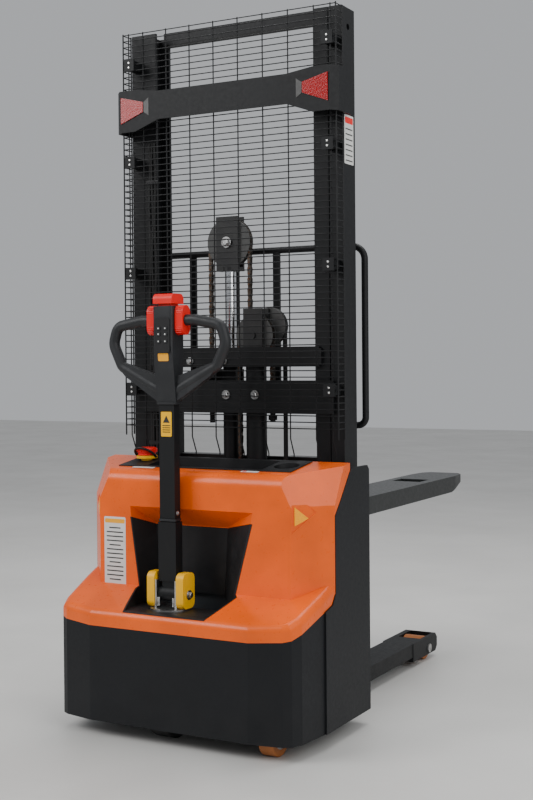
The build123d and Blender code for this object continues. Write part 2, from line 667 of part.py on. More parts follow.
HEAD_OUTLINE = [(-14, 930), (14, 930), (32, 1100), (32, 1204), (-32, 1204), (-32, 1100)]
LOOP_PATH = [(20, THROTTLE_Z), (88, THROTTLE_Z), (172, 1150), (187, 1100), (157, 1036), (20, 966)]
LOOP_RADIUS = 15.5
WEB_OUTLINE = [(20, 1005), (148, 1046), (160, 1030), (140, 1008), (20, 931)]
with BuildPart() as tiller_head:
    prism(side_plane(STEER[0] - 32), [(PIVOT_Y + y, z) for y, z in HEAD_OUTLINE], 64)
    fillet(tiller_head.edges().filter_by(Axis.Z), 8)
    for side in (-1, 1):
        with BuildLine() as loop:
            FilletPolyline([(STEER[0] + side * x, PIVOT_Y, z) for x, z in LOOP_PATH], radius=(30, 30, 40, 25))
        with BuildSketch(Plane(origin=loop.line @ 0, z_dir=loop.line % 0)):
            Circle(LOOP_RADIUS)
        sweep(path=loop.line)
        prism(front_plane(PIVOT_Y + 12), [(STEER[0] + side * x, z) for x, z in WEB_OUTLINE], 24)
    block((STEER[0] - 22, STEER[0] + 22), (PIVOT_Y - 22, PIVOT_Y + 22), (1186, 1210), Mode.SUBTRACT)
save(tiller_head, "tiller_head")

with BuildPart() as throttle_paddles:
    for x in (STEER[0] - 46.5, STEER[0] + 46.5):
        with BuildSketch(side_plane(x - 13)):
            with Locations((PIVOT_Y, THROTTLE_Z)):
                SlotOverall(83, 40, rotation=90)
        extrude(amount=26)
        rod((x, PIVOT_Y, THROTTLE_Z), LOOP_RADIUS + RUNNING_GAP, 30, "x", Mode.SUBTRACT)
save(throttle_paddles, "throttle_paddles")

with BuildPart() as reverse_button:
    block((STEER[0] - 31, STEER[0] + 31), (PIVOT_Y - 31, PIVOT_Y + 31), (1211, 1239))
    fillet(reverse_button.edges().filter_by(Axis.X).group_by(Axis.Z)[-1], 16)
    block((STEER[0] - 20, STEER[0] + 20), (PIVOT_Y - 20, PIVOT_Y + 20), (1194, 1212))
save(reverse_button, "reverse_button")

# ---- castor ----

with BuildPart() as castor_fork:
    column(*CASTOR, 10, (128, 172))
    column(*CASTOR, 30, (118, 130))
    block((258, 322), (-768, -690), (110, 119))
    for x in (258, 316):
        prism(side_plane(x), [(-768, 112), (-690, 112), (-722, 34), (-746, 34)], 6)
    rod((CASTOR[0], CASTOR[1] - CASTOR_TRAIL, CASTOR_RADIUS), 6, 68, "x")
save(castor_fork, "castor_fork")

with BuildPart() as castor_wheel:
    rod((CASTOR[0], CASTOR[1] - CASTOR_TRAIL, CASTOR_RADIUS), CASTOR_RADIUS, 45, "x")
    fillet(castor_wheel.edges().filter_by(GeomType.CIRCLE), 4)
    rod((CASTOR[0], CASTOR[1] - CASTOR_TRAIL, CASTOR_RADIUS), 6 + RUNNING_GAP, 50, "x", Mode.SUBTRACT)
save(castor_wheel, "castor_wheel")
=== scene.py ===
import bpy
import json
import math
from mathutils import Matrix, Vector


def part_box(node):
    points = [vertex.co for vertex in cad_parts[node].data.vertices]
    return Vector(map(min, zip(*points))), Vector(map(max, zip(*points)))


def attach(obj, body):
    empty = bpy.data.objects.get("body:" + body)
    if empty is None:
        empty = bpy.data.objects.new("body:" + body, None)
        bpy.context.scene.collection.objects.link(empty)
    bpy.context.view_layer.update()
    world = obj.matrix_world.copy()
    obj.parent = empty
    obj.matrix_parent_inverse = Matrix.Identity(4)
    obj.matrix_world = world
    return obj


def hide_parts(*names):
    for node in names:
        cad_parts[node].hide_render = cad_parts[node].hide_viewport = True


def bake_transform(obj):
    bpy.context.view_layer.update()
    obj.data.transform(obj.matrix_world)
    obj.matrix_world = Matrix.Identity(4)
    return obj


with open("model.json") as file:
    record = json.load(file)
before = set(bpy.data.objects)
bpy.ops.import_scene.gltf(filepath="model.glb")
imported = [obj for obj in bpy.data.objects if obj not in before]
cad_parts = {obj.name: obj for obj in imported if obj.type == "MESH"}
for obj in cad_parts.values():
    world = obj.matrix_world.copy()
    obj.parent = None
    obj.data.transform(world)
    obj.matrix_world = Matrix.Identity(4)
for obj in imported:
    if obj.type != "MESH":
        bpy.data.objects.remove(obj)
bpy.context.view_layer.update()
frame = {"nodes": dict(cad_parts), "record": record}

# ---- places taken from the frame (metres) ----


def centre(node):
    """The middle of a node's box at rest."""
    low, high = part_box(node)
    return (Vector(low) + Vector(high)) / 2


def low(node):
    """A node's lowest corner."""
    return Vector(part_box(node)[0])


def high(node):
    """A node's highest corner."""
    return Vector(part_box(node)[1])


# ---- materials ----


class Recipe:
    """A material under construction, with short calls for its nodes."""

    def __init__(self, name):
        self.material = bpy.data.materials.new(name)
        self.material.use_nodes = True
        self.tree = self.material.node_tree
        self.shader = self.tree.nodes["Principled BSDF"]
        self.place = self.tree.nodes.new("ShaderNodeTexCoord").outputs["Object"]

    def link(self, source, target):
        self.tree.links.new(source, target)

    def noise(self, scale, detail=4.0, stretch=(1, 1, 1)):
        mapping = self.tree.nodes.new("ShaderNodeMapping")
        mapping.inputs["Scale"].default_value = stretch
        self.link(self.place, mapping.inputs["Vector"])
        node = self.tree.nodes.new("ShaderNodeTexNoise")
        node.inputs["Scale"].default_value = scale
        node.inputs["Detail"].default_value = detail
        self.link(mapping.outputs["Vector"], node.inputs["Vector"])
        return node.outputs["Fac"]

    def cells(self, scale):
        node = self.tree.nodes.new("ShaderNodeTexVoronoi")
        node.inputs["Scale"].default_value = scale
        self.link(self.place, node.inputs["Vector"])
        return node.outputs["Distance"]

    def height(self, bottom, top):
        """0 at the lower height and 1 at the upper one."""
        split = self.tree.nodes.new("ShaderNodeSeparateXYZ")
        self.link(self.place, split.inputs[0])
        return self.ranged(split.outputs["Z"], bottom, top, 0, 1)

    def ranged(self, source, from_low, from_high, to_low, to_high):
        node = self.tree.nodes.new("ShaderNodeMapRange")
        for label, value in zip(("From Min", "From Max", "To Min", "To Max"),
                                (from_low, from_high, to_low, to_high)):
            node.inputs[label].default_value = value
        self.link(source, node.inputs["Value"])
        return node.outputs["Result"]

    def mixed(self, factor, first, second):
        """Two colours, or one colour over what is there, by a factor."""
        node = self.tree.nodes.new("ShaderNodeMix")
        node.data_type = "RGBA"
        self.link(factor, node.inputs["Factor"])
        for value, socket in ((first, node.inputs["A"]), (second, node.inputs["B"])):
            if isinstance(value, tuple):
                socket.default_value = (*value, 1)
            else:
                self.link(value, socket)
        return node.outputs["Result"]

    def bump(self, source, strength, distance=0.001):
        node = self.tree.nodes.new("ShaderNodeBump")
        node.inputs["Strength"].default_value = strength
        node.inputs["Distance"].default_value = distance
        self.link(source, node.inputs["Height"])
        self.link(node.outputs["Normal"], self.shader.inputs["Normal"])

    def colour(self, source):
        self.link(source, self.shader.inputs["Base Color"])

    def roughness(self, source, smooth, rough):
        self.link(self.ranged(source, 0.3, 0.7, smooth, rough), self.shader.inputs["Roughness"])

    def fixed(self, **values):
        for label, value in values.items():
            self.shader.inputs[label.replace("_", " ")].default_value = value


def paint(name, colour, dust, smooth, rough, grain=900, grain_strength=0.15, coat=0.0, dust_height=0.5,
          scuffed=0.12, shine=0.5):
    """Sprayed or powder-coated paint with faint mottling, scuffs and floor dust low down."""
    r = Recipe(name)
    shade = tuple(c * 0.8 for c in colour)
    base = r.mixed(r.ranged(r.noise(6), 0.35, 0.65, 0, 1), colour, shade)
    scuffs = r.ranged(r.noise(55, 8, (1, 1, 0.25)), 0.63, 0.75, 0, scuffed)
    base = r.mixed(scuffs, base, dust)
    settled = r.tree.nodes.new("ShaderNodeMath")
    settled.operation = "MULTIPLY"
    r.link(r.height(dust_height, 0.02), settled.inputs[0])
    r.link(r.ranged(r.noise(14, 6), 0.35, 0.8, 0, 0.15), settled.inputs[1])
    r.colour(r.mixed(settled.outputs[0], base, dust))
    r.roughness(r.noise(90, 6), smooth, rough)
    r.bump(r.noise(grain, 2), grain_strength, 0.0004)
    r.fixed(Coat_Weight=coat, Coat_Roughness=0.08, Specular_IOR_Level=shine)
    return r.material


def moulded(name, colour, smooth=0.42, rough=0.6, strength=0.35, light=None):
    """Moulded plastic with a fine pebble grain and rubbed patches."""
    r = Recipe(name)
    rubbed = light or tuple(min(1, c * 1.6 + 0.01) for c in colour)
    r.colour(r.mixed(r.ranged(r.noise(18, 7), 0.5, 0.75, 0, 0.5), colour, rubbed))
    r.roughness(r.noise(30), smooth, rough)
    r.bump(r.cells(1400), strength, 0.0003)
    r.fixed(Specular_IOR_Level=0.35)
    return r.material


def bare_metal(name, colour, stain, smooth, rough, stretch=(1, 1, 1), strength=0.2, scale=200):
    """Bare or plated metal with machining lines and stains."""
    r = Recipe(name)
    r.colour(r.mixed(r.ranged(r.noise(35, 8), 0.45, 0.7, 0, 0.7), colour, stain))
    r.roughness(r.noise(60, 5, stretch), smooth, rough)
    r.bump(r.noise(scale, 3, stretch), strength, 0.0003)
    r.fixed(Metallic=1.0)
    return r.material


def reflector(name, colour, bright):
    """A prismatic reflector: small bright cells under clear plastic, with a faint painted glow in its
    own colour.
    """
    r = Recipe(name)
    cell = r.cells(260)
    r.colour(r.mixed(r.ranged(cell, 0.1, 0.6, 0, 1), bright, colour))
    r.roughness(cell, 0.12, 0.3)
    r.bump(cell, 0.5, 0.001)
    # painted light: a weak emission in the reflector's colour makes it glow although it is no lamp
    r.fixed(Coat_Weight=0.3, Coat_Roughness=0.03, Specular_IOR_Level=0.25, Emission_Color=(*colour, 1),
            Emission_Strength=0.12)
    return r.material


ORANGE = paint("orange_gloss", (1.0, 0.13, 0.0), (0.9, 0.2, 0.03), 0.26, 0.36, grain=700,
               grain_strength=0.05, coat=0.12, scuffed=0.06, shine=0.3)
DARK = paint("dark_powder_coat", (0.006, 0.0065, 0.0075), (0.03, 0.029, 0.027), 0.5, 0.58,
             grain_strength=0.3, scuffed=0.06, shine=0.3)
SKIRT = paint("skirt_powder_coat", (0.006, 0.007, 0.009), (0.04, 0.039, 0.036), 0.5, 0.58,
              grain_strength=0.3, dust_height=0.25, scuffed=0.06, shine=0.3)
FORK_PAINT = paint("fork_paint", (0.014, 0.016, 0.016), (0.12, 0.115, 0.11), 0.36, 0.5, grain=600,
                   grain_strength=0.2, coat=0.1, dust_height=0.1, scuffed=0.08, shine=0.35)
BLACK = moulded("black_plastic", (0.01, 0.01, 0.011))
GRIP = moulded("tiller_plastic", (0.018, 0.019, 0.021), 0.35, 0.52, 0.5)
RED = moulded("red_plastic", (0.85, 0.006, 0.003), 0.3, 0.45, 0.1, (0.85, 0.03, 0.015))
YELLOW = moulded("yellow_plastic", (1.0, 0.52, 0.0), 0.3, 0.45, 0.12, (0.95, 0.5, 0.01))
RED_GLASS = reflector("red_reflector", (0.28, 0.0, 0.001), (0.45, 0.001, 0.003))
YELLOW_GLASS = reflector("yellow_reflector", (1.0, 0.36, 0.0), (1.0, 0.5, 0.01))


def yoked(name, joint_height):
    """A chromed rod below a height, and the painted yoke welded to it above."""
    r = Recipe(name)
    above = r.height(joint_height, joint_height + 0.0005)
    mottling = r.ranged(r.noise(25, 6), 0.4, 0.7, 0, 1)
    painted = r.mixed(mottling, (0.008, 0.008, 0.009), (0.018, 0.018, 0.017))
    stains = r.ranged(r.noise(35, 8), 0.45, 0.7, 0, 0.7)
    plated = r.mixed(stains, (0.72, 0.73, 0.75), (0.45, 0.44, 0.42))
    r.colour(r.mixed(above, plated, painted))
    r.link(r.ranged(above, 0, 1, 1, 0), r.shader.inputs["Metallic"])
    r.link(r.ranged(above, 0, 1, 0.14, 0.5), r.shader.inputs["Roughness"])
    r.bump(r.noise(500), 0.1, 0.0003)
    return r.material


FREE_YOKE = yoked("free_lift_rod_finish", 1.32)
MAIN_YOKE = yoked("main_rod_finish", 1.044)
CHROME = bare_metal("chrome_rod", (0.72, 0.73, 0.75), (0.45, 0.44, 0.42), 0.06, 0.2, (1, 1, 12), 0.05)
STEEL = bare_metal("bright_steel", (0.5, 0.5, 0.5), (0.26, 0.24, 0.22), 0.25, 0.45, (6, 1, 1))
CHAIN = bare_metal("oiled_chain", (0.11, 0.09, 0.075), (0.05, 0.035, 0.025), 0.25, 0.5)
PIN = bare_metal("chain_pin", (0.16, 0.08, 0.05), (0.07, 0.04, 0.03), 0.3, 0.5)
PLATED = bare_metal("zinc_plate", (0.85, 0.85, 0.83), (0.55, 0.54, 0.5), 0.3, 0.45)
SHEAVE = paint("sheave_grey", (0.07, 0.07, 0.068), (0.03, 0.027, 0.024), 0.35, 0.55)
RUBBER = moulded("hose_rubber", (0.012, 0.012, 0.012), 0.45, 0.7, 0.5)
URETHANE = moulded("urethane", (0.4, 0.13, 0.03), 0.35, 0.6, 0.3, (0.22, 0.1, 0.05))
ALLOY = bare_metal("cast_alloy", (0.35, 0.35, 0.36), (0.2, 0.19, 0.18), 0.4, 0.6, (1, 1, 1), 0.6, 90)
CASE = paint("battery_case", (0.04, 0.045, 0.05), (0.12, 0.12, 0.12), 0.4, 0.6)
PALE = moulded("pale_label", (0.72, 0.72, 0.7), 0.35, 0.5, 0.05, (0.6, 0.59, 0.56))
AMBER = moulded("amber_label", (0.95, 0.42, 0.02), 0.3, 0.45, 0.05, (0.9, 0.5, 0.05))
INK = moulded("label_ink", (0.03, 0.03, 0.03), 0.4, 0.5, 0.05)

BY_SLOT = {
    "orange_paint": ORANGE, "dark_paint": DARK, "black_plastic": BLACK, "tiller_plastic": GRIP,
    "red_plastic": RED, "yellow_plastic": YELLOW, "yellow_reflector": YELLOW_GLASS,
    "red_reflector": RED_GLASS, "chrome_rod": CHROME, "chain_steel": CHAIN, "bright_steel": STEEL,
    "hose_rubber": RUBBER, "sheave_grey": SHEAVE, "pu_wheel": URETHANE, "battery_case": CASE,
    "motor_metal": ALLOY,
}
BY_NODE = {
    "front_skirt": SKIRT, "side_plates": SKIRT, "fork_left": FORK_PAINT, "fork_right": FORK_PAINT,
    "free_lift_rod": FREE_YOKE, "main_piston_rod": MAIN_YOKE, "drive_wheel": RUBBER,
}
for entry in frame["record"]["subparts"]:
    finish = BY_NODE.get(entry["node"], BY_SLOT[entry["material_slot"]])
    node_object = frame["nodes"][entry["node"]]
    node_object.data.materials.clear()
    node_object.data.materials.append(finish)

# ---- mesh making ----


class Mesh:
    """Gathers vertices and faces with a material each, then becomes one object."""

    def __init__(self):
        self.points = []
        self.faces = []
        self.finish = []

    def add(self, points, faces, material=0):
        start = len(self.points)
        self.points += [tuple(p) for p in points]
        self.faces += [tuple(start + i for i in face) for face in faces]
        self.finish += [material] * len(faces)

    def tube(self, path, radius, sides=8, material=0):
        """A round bar along a list of points, capped at both ends."""
        path = [Vector(p) for p in path]
        points = []
        side = None
        for i, here in enumerate(path):
            ahead = (path[min(i + 1, len(path) - 1)] - path[max(i - 1, 0)]).normalized()
            if side is None:
                side = ahead.orthogonal().normalized()
            side = (side - ahead * side.dot(ahead)).normalized()
            up = ahead.cross(side)
            for k in range(sides):
                turn = 2 * math.pi * k / sides
                points.append(here + (side * math.cos(turn) + up * math.sin(turn)) * radius)
        faces = []
        for i in range(len(path) - 1):
            for k in range(sides):
                a, b = i * sides + k, i * sides + (k + 1) % sides
                faces.append((a, b, b + sides, a + sides))
        faces.append(tuple(range(sides))[::-1])
        faces.append(tuple(range((len(path) - 1) * sides, len(path) * sides)))
        self.add(points, faces, material)

    def slab(self, outline, base, across, along, depth, material=0):
        """An outline in the plane of two directions, thickened by the depth vector."""
        base, across, along, depth = Vector(base), Vector(across), Vector(along), Vector(depth)
        near = [base + across * u + along * v for u, v in outline]
        count = len(near)
        faces = [tuple(range(count))[::-1], tuple(range(count, 2 * count))]
        faces += [(i, (i + 1) % count, count + (i + 1) % count, count + i) for i in range(count)]
        self.add(near + [p + depth for p in near], faces, material)

    def turned(self, profile, base, axis, sides=32, material=0):
        """A profile of (radius, distance) turned about an axis from a base point."""
        base, axis = Vector(base), Vector(axis).normalized()
        side = axis.orthogonal().normalized()
        up = axis.cross(side)
        points = []
        for radius, reach in profile:
            for k in range(sides):
                turn = 2 * math.pi * k / sides
                around = side * math.cos(turn) + up * math.sin(turn)
                points.append(base + axis * reach + around * radius)
        faces = []
        for i in range(len(profile) - 1):
            for k in range(sides):
                a, b = i * sides + k, i * sides + (k + 1) % sides
                faces.append((a, b, b + sides, a + sides))
        faces.append(tuple(range(sides))[::-1])
        faces.append(tuple(range((len(profile) - 1) * sides, len(profile) * sides)))
        self.add(points, faces, material)

    def piece(self, name, materials, smooth=True, bevel=0.0):
        data = bpy.data.meshes.new(name)
        data.from_pydata(self.points, [], self.faces)
        data.validate()
        for material in materials:
            data.materials.append(material)
        for polygon, index in zip(data.polygons, self.finish):
            polygon.material_index = index
        made = bpy.data.objects.new(name, data)
        bpy.context.scene.collection.objects.link(made)
        if smooth:
            data.shade_smooth()
            bpy.context.view_layer.objects.active = made
            data.set_sharp_from_angle(angle=math.radians(35))
        if bevel:
            edge = made.modifiers.new("edge", "BEVEL")
            edge.width = bevel
            edge.segments = 2
            edge.limit_method = "ANGLE"
        return made


def rounded(width, height, radius, steps=4):
    """The outline of a rectangle with round corners, centred on the origin."""
    outline = []
    for corner, (sx, sy) in enumerate(((1, 1), (-1, 1), (-1, -1), (1, -1))):
        for step in range(steps + 1):
            turn = math.pi / 2 * (corner + step / steps)
            outline.append((sx * (width / 2 - radius) + radius * math.cos(turn),
                            sy * (height / 2 - radius) + radius * math.sin(turn)))
    return outline


X = Vector((1, 0, 0))
Y = Vector((0, 1, 0))
Z = Vector((0, 0, 1))

# ---- wire screen ----

MESH_PITCH = 0.0184
WIRE = 0.0016


def screen():
    """The guard's fine cross wires on its uprights, with wings back to the mast."""
    bottom, top = low("mesh_guard"), high("mesh_guard")
    back = low("outer_rails").y
    front = bottom.y + 0.002
    reach = top.x - 0.002
    foot = bottom.z + 0.055
    wires = Mesh()
    rows = int((top.z - foot) / MESH_PITCH)
    bends = [(-reach, back), (-reach, front), (reach, front), (reach, back)]
    for row in range(rows):
        z = top.z - 0.004 - row * MESH_PITCH
        wires.tube([(x, y, z) for x, y in bends], WIRE, 6)
    uprights = [side * x for x in (0.0415, 0.1246, 0.2076, 0.2906, 0.343) for side in (-1, 1)]
    for x in uprights:
        wires.tube([(x, front + 0.003, top.z), (x, front + 0.003, foot),
                    (x, front + 0.024, foot - 0.045), (x, front + 0.024, bottom.z)], WIRE * 1.2, 6)
    for side in (-1, 1):
        for y in (front, back - 0.002):
            wires.tube([(side * reach, y, top.z), (side * reach, y, foot)], WIRE * 1.4, 6)
    made = wires.piece("wire_screen", [DARK])
    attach(made, "chassis")
    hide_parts("mesh_guard", "mesh_wings")


screen()

# ---- leaf chains and hose ----

LINK_PITCH = 0.0159
LINK_RADIUS = 0.0058


def link_outline():
    """A link plate's outline: two half circles, one pitch apart."""
    outline = []
    for k in range(12):
        turn = math.pi * k / 6
        shift = LINK_PITCH / 2 if math.sin(turn) >= 0 else -LINK_PITCH / 2
        outline.append((math.cos(turn) * LINK_RADIUS, math.sin(turn) * LINK_RADIUS + shift))
    return outline


LINK_OUTLINE = link_outline()


def links(path, name):
    """Interleaved link plates and pins along a path, whose plates stack along Y."""
    chain = Mesh()
    lengths = [(b - a).length for a, b in zip(path, path[1:])]
    total = sum(lengths)
    count = max(2, round(total / LINK_PITCH))

    def at(distance):
        for start, end, length in zip(path, path[1:], lengths):
            if distance <= length or end is path[-1]:
                ahead = (end - start).normalized()
                return start + ahead * distance, ahead
            distance -= length

    for index in range(count):
        spot, ahead = at((index + 0.5) * total / count)
        across = ahead.cross(Y)
        layers = (-0.0068, -0.0012, 0.0044) if index % 2 else (-0.004, 0.0016)
        for layer in layers:
            chain.slab(LINK_OUTLINE, spot + Y * layer, across, ahead, Y * 0.0024)
        joint, _ = at(index * total / count)
        chain.tube([joint - Y * 0.0085, joint + Y * 0.0085], 0.0028, 10, 1)
    return chain.piece(name, [CHAIN, PIN])


def over(node, pitch):
    """The upper half turn around a pulley, from its -X side to its +X side."""
    hub = centre(node)
    return [hub + Vector((-math.cos(t) * pitch, 0, math.sin(t) * pitch))
            for t in [math.pi * k / 24 for k in range(25)]]


def run(node):
    """A straight chain run from anchor to pulley, along the height of the node's box; it is baked in
    place and follows neither body.
    """
    bottom, top = low(node), high(node)
    middle = centre(node)
    foot, head = Vector((middle.x, middle.y, bottom.z)), Vector((middle.x, middle.y, top.z))
    made = links([foot, head], node + "_links")
    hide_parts(node)
    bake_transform(made)


CHAINS = (
    ("main_chain_fixed", "chassis", "main_rod"), ("main_chain_moving", "inner_mast", "main_rod"),
    ("free_chain_fixed", "inner_mast", "free_rod"), ("free_chain_moving", "carriage", "free_rod"),
)
for node, anchor, pulley_body in CHAINS:
    run(node)
for node, sheave, pitch, body in (("main_chain_wrap", "main_sheave", 0.055, "main_rod"),
                                  ("free_chain_wrap", "free_lift_sheave", 0.068, "free_rod")):
    wrap = links(over(sheave, pitch), node + "_links")
    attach(wrap, body)
    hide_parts(node)

for node, anchor in (("hose_fixed", "chassis"), ("hose_moving", "inner_mast")):
    middle = centre(node)
    foot, head = low(node).z, high(node).z
    hose = Mesh()
    hose.tube([(middle.x, middle.y, foot + (head - foot) * k / 60) for k in range(61)], 0.0068, 16)
    made = hose.piece(node + "_line", [RUBBER])
    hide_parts(node)
    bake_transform(made)

# ---- fasteners ----


def bolt(mesh, spot, axis, size=0.008, material=0):
    """A hexagon head on a washer, facing along the axis."""
    mesh.turned([(size * 1.5, 0), (size * 1.5, size * 0.25)], spot, axis, 24, material)
    head = [(size, size * 0.25), (size, size * 0.95), (size * 0.8, size * 1.1)]
    mesh.turned(head, spot, axis, 6, material)


def bolts(name, body, spots, axis, size=0.008, material=STEEL):
    """A group of bolt heads that ride together."""
    group = Mesh()
    for spot in spots:
        bolt(group, Vector(spot), axis, size)
    made = group.piece(name, [material])
    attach(made, body)


bar = low("outer_crossbar")
spots = [(x, bar.y + 0.0045, 0.95) for x in (-0.019, 0.079)]
bolts("crossbar_bolts", "chassis", spots, -Y, 0.009)
plate = low("inner_crossbars")
spots = [(x, plate.y + 0.0045, 1.05) for x in (-0.149, -0.032)]
bolts("middle_bar_bolts", "inner_mast", spots, -Y, 0.008)
yoke = low("free_lift_rod")
hub = centre("free_lift_sheave")
bolts("free_sheave_pin", "free_rod", [(hub.x, yoke.y + 0.001, hub.z)], -Y, 0.011)
leg_x = high("load_axles").x
axle = centre("load_wheel_right")
bolts("load_axle_nuts_right", "chassis", [(leg_x - 0.0036, axle.y, axle.z)], X, 0.004)
bolts("load_axle_nuts_left", "chassis", [(-leg_x + 0.0036, axle.y, axle.z)], -X, 0.004)


CLAMP_X = 0.336
CLAMP_HEIGHTS = (0.965, 1.32, 1.66, 1.957)


def screen_clamps():
    """The screen's clamp plates with their bolts, on dark blocks."""
    reach = low("mesh_clamps")
    clamps = Mesh()
    for z in CLAMP_HEIGHTS:
        for x in (-CLAMP_X, CLAMP_X):
            clamps.slab(rounded(0.036, 0.03, 0.006), (x, reach.y + 0.004, z), X, Z, -Y * 0.003)
            for dz in (-0.007, 0.007):
                bolt(clamps, Vector((x, reach.y + 0.0025, z + dz)), -Y, 0.0035)
    made = clamps.piece("screen_clamp_faces", [PLATED], True, 0.0006)
    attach(made, "chassis")


screen_clamps()
frame["nodes"]["mesh_clamps"].data.materials[0] = DARK

# ---- tiller ----

PRINT = 0.0003
KEY_HEIGHTS = (1.142, 1.126, 1.106)
LABEL_HEIGHT = 0.875
COLLAR_BOLT_HEIGHT = 0.626


def tiller_head():
    """Keypad, labels and collars on the tiller's head and post."""
    middle = centre("tiller_post")
    face = middle.y - 0.032
    panel = Mesh()
    panel.slab(rounded(0.05, 0.098, 0.008), (middle.x, face + 0.0006, 1.123), X, Z, -Y * 0.0026)
    for z in KEY_HEIGHTS:
        for column in range(2):
            x = middle.x + (column - 0.5) * 0.022
            panel.slab(rounded(0.014, 0.01, 0.003), (x, face - 0.002, z), X, Z, -Y * 0.0016, 1)
    for x in (-0.011, 0.011):
        for z in KEY_HEIGHTS:
            panel.slab(rounded(0.004, 0.004, 0.0015), (middle.x + x, face - 0.0036, z),
                       X, Z, -Y * 0.0004, 2)
    made = panel.piece("tiller_keypad", [BLACK, GRIP, PALE], True, 0.0005)
    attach(made, "tiller")

    tags = Mesh()
    slope = Vector((0, 0.018, -0.17)).normalized()
    front = face + 0.006
    tags.slab(rounded(0.034, 0.022, 0.003), (middle.x, front - 0.0012, 1.062), X, -slope, -Y * 0.0012)
    made = tags.piece("tiller_amber_tag", [AMBER])
    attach(made, "tiller")

    label = Mesh()
    skin = middle.y - 0.0145
    label.slab(rounded(0.035, 0.069, 0.003), (middle.x, skin, LABEL_HEIGHT), X, Z, -Y * 0.0008)
    label.slab([(-0.011, 0.004), (0.011, 0.004), (0, 0.024)], (middle.x, skin - 0.0008, LABEL_HEIGHT),
               X, Z, -Y * PRINT, 1)
    for z in (-0.004, -0.01, -0.016, -0.022):
        label.slab(rounded(0.026, 0.0025, 0.001), (middle.x, skin - 0.0008, LABEL_HEIGHT + z),
                   X, Z, -Y * PRINT, 1)
    made = label.piece("tiller_yellow_label", [YELLOW, INK])
    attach(made, "tiller")

    trim = Mesh()
    for z, width in ((0.604, 0.056), (0.93, 0.058)):
        trim.slab(rounded(width, 0.036, 0.006), (middle.x, middle.y, z), X, Y, Z * 0.006)
    for side in (1, -1):
        spot = Vector((middle.x + side * 0.025, middle.y, COLLAR_BOLT_HEIGHT))
        bolt(trim, spot, X * side, 0.0045, 1)
    made = trim.piece("tiller_collars", [GRIP, STEEL], True, 0.0008)
    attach(made, "tiller")


tiller_head()


def paddle_ribs():
    """Thumb ribs on the two wings of the throttle."""
    ribs = Mesh()
    middle = centre("throttle_paddles")
    for x in (low("throttle_paddles").x + 0.013, high("throttle_paddles").x - 0.013):
        for end in (-1, 1):
            for k in range(4):
                z = middle.z + end * (0.02 + k * 0.005)
                y = middle.y - 0.02
                ribs.tube([(x - 0.009, y, z), (x + 0.009, y, z)], 0.0012, 8)
    made = ribs.piece("throttle_ribs", [RED])
    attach(made, "throttle")


paddle_ribs()


def tiller_foot():
    """Pivot bolts on the outer sides of the yellow guards, and two short silver rods between them."""
    middle = centre("tiller_guards")
    foot = Mesh()
    left, right = low("tiller_guards").x, high("tiller_guards").x
    bolt(foot, Vector((left - 0.0005, middle.y, 0.4)), -X, 0.009)
    bolt(foot, Vector((right + 0.0005, middle.y, 0.4)), X, 0.009)
    for x in (middle.x - 0.025, middle.x + 0.025):
        foot.tube([(x, middle.y - 0.024, 0.368), (x, middle.y - 0.024, 0.392)], 0.005, 12)
    made = foot.piece("tiller_pivot_hardware", [STEEL], True, 0.0005)
    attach(made, "steer")


tiller_foot()

# ---- hood details ----


def disconnect_details():
    """A black hoop that leans forward round the red handle, and the handle's grip ribs."""
    middle = centre("disconnect_base")
    top = high("disconnect_base").z
    bail = Mesh()
    hoop = []
    for k in range(25):
        turn = math.pi * k / 24
        rise = math.sin(turn)
        reach = 0.033 + 0.004 * rise
        x, y = middle.x + math.cos(turn) * reach, middle.y - rise * reach
        hoop.append((x, y, top - 0.004 + rise * 0.028))
    bail.tube(hoop, 0.0035, 12)
    made = bail.piece("disconnect_bail", [BLACK])
    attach(made, "chassis")
    cap = Mesh()
    hub_middle = centre("disconnect_handle")
    crown = high("disconnect_handle").z
    for k in range(12):
        turn = 2 * math.pi * k / 12
        edge = hub_middle + Vector((math.cos(turn) * 0.0295, math.sin(turn) * 0.0295, 0))
        cap.tube([(edge.x, edge.y, crown - 0.012), (edge.x, edge.y, crown - 0.004)], 0.002, 8)
    made = cap.piece("disconnect_grip_ribs", [RED])
    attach(made, "disconnect")


disconnect_details()

HOOD_FACE = -0.676
HOOD_TAG_X = -0.262
TRAY_FRONT = low("storage_tray").y
HOOD_TOP_ALONG = Vector((0, 1, 0.142)).normalized()
HOOD_TOP_NORMAL = Vector((0, -0.142, 1)).normalized()


def hood_details():
    """A tag with plain lines on the hood's face, and two small blank ones in front of the tray."""
    tags = Mesh()
    tags.slab(rounded(0.075, 0.2, 0.004), (HOOD_TAG_X, HOOD_FACE + 0.0004, 0.5), X, Z, -Y * 0.0008)
    tags.slab(rounded(0.069, 0.012, 0.002), (HOOD_TAG_X, HOOD_FACE - 0.0004, 0.588),
              X, Z, -Y * PRINT, 1)
    for row in range(13):
        width = 0.058 if row % 4 else 0.04
        tags.slab(rounded(width, 0.0035, 0.001), (HOOD_TAG_X, HOOD_FACE - 0.0004, 0.568 - row * 0.0125),
                  X, Z, -Y * PRINT, 2)
    top = high("storage_tray").z - 0.021
    for x, width in ((-0.19, 0.075), (0.165, 0.055)):
        tags.slab(rounded(width, 0.014, 0.002), (x, TRAY_FRONT - 0.012, top - 0.0017),
                  X, HOOD_TOP_ALONG, HOOD_TOP_NORMAL * 0.0008)
    tags.slab(rounded(0.012, 0.008, 0.001), (0.148, TRAY_FRONT - 0.012, top - 0.0009),
              X, HOOD_TOP_ALONG, HOOD_TOP_NORMAL * PRINT, 3)
    made = tags.piece("hood_paper_tag", [PALE, AMBER, INK, RED])
    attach(made, "chassis")


hood_details()


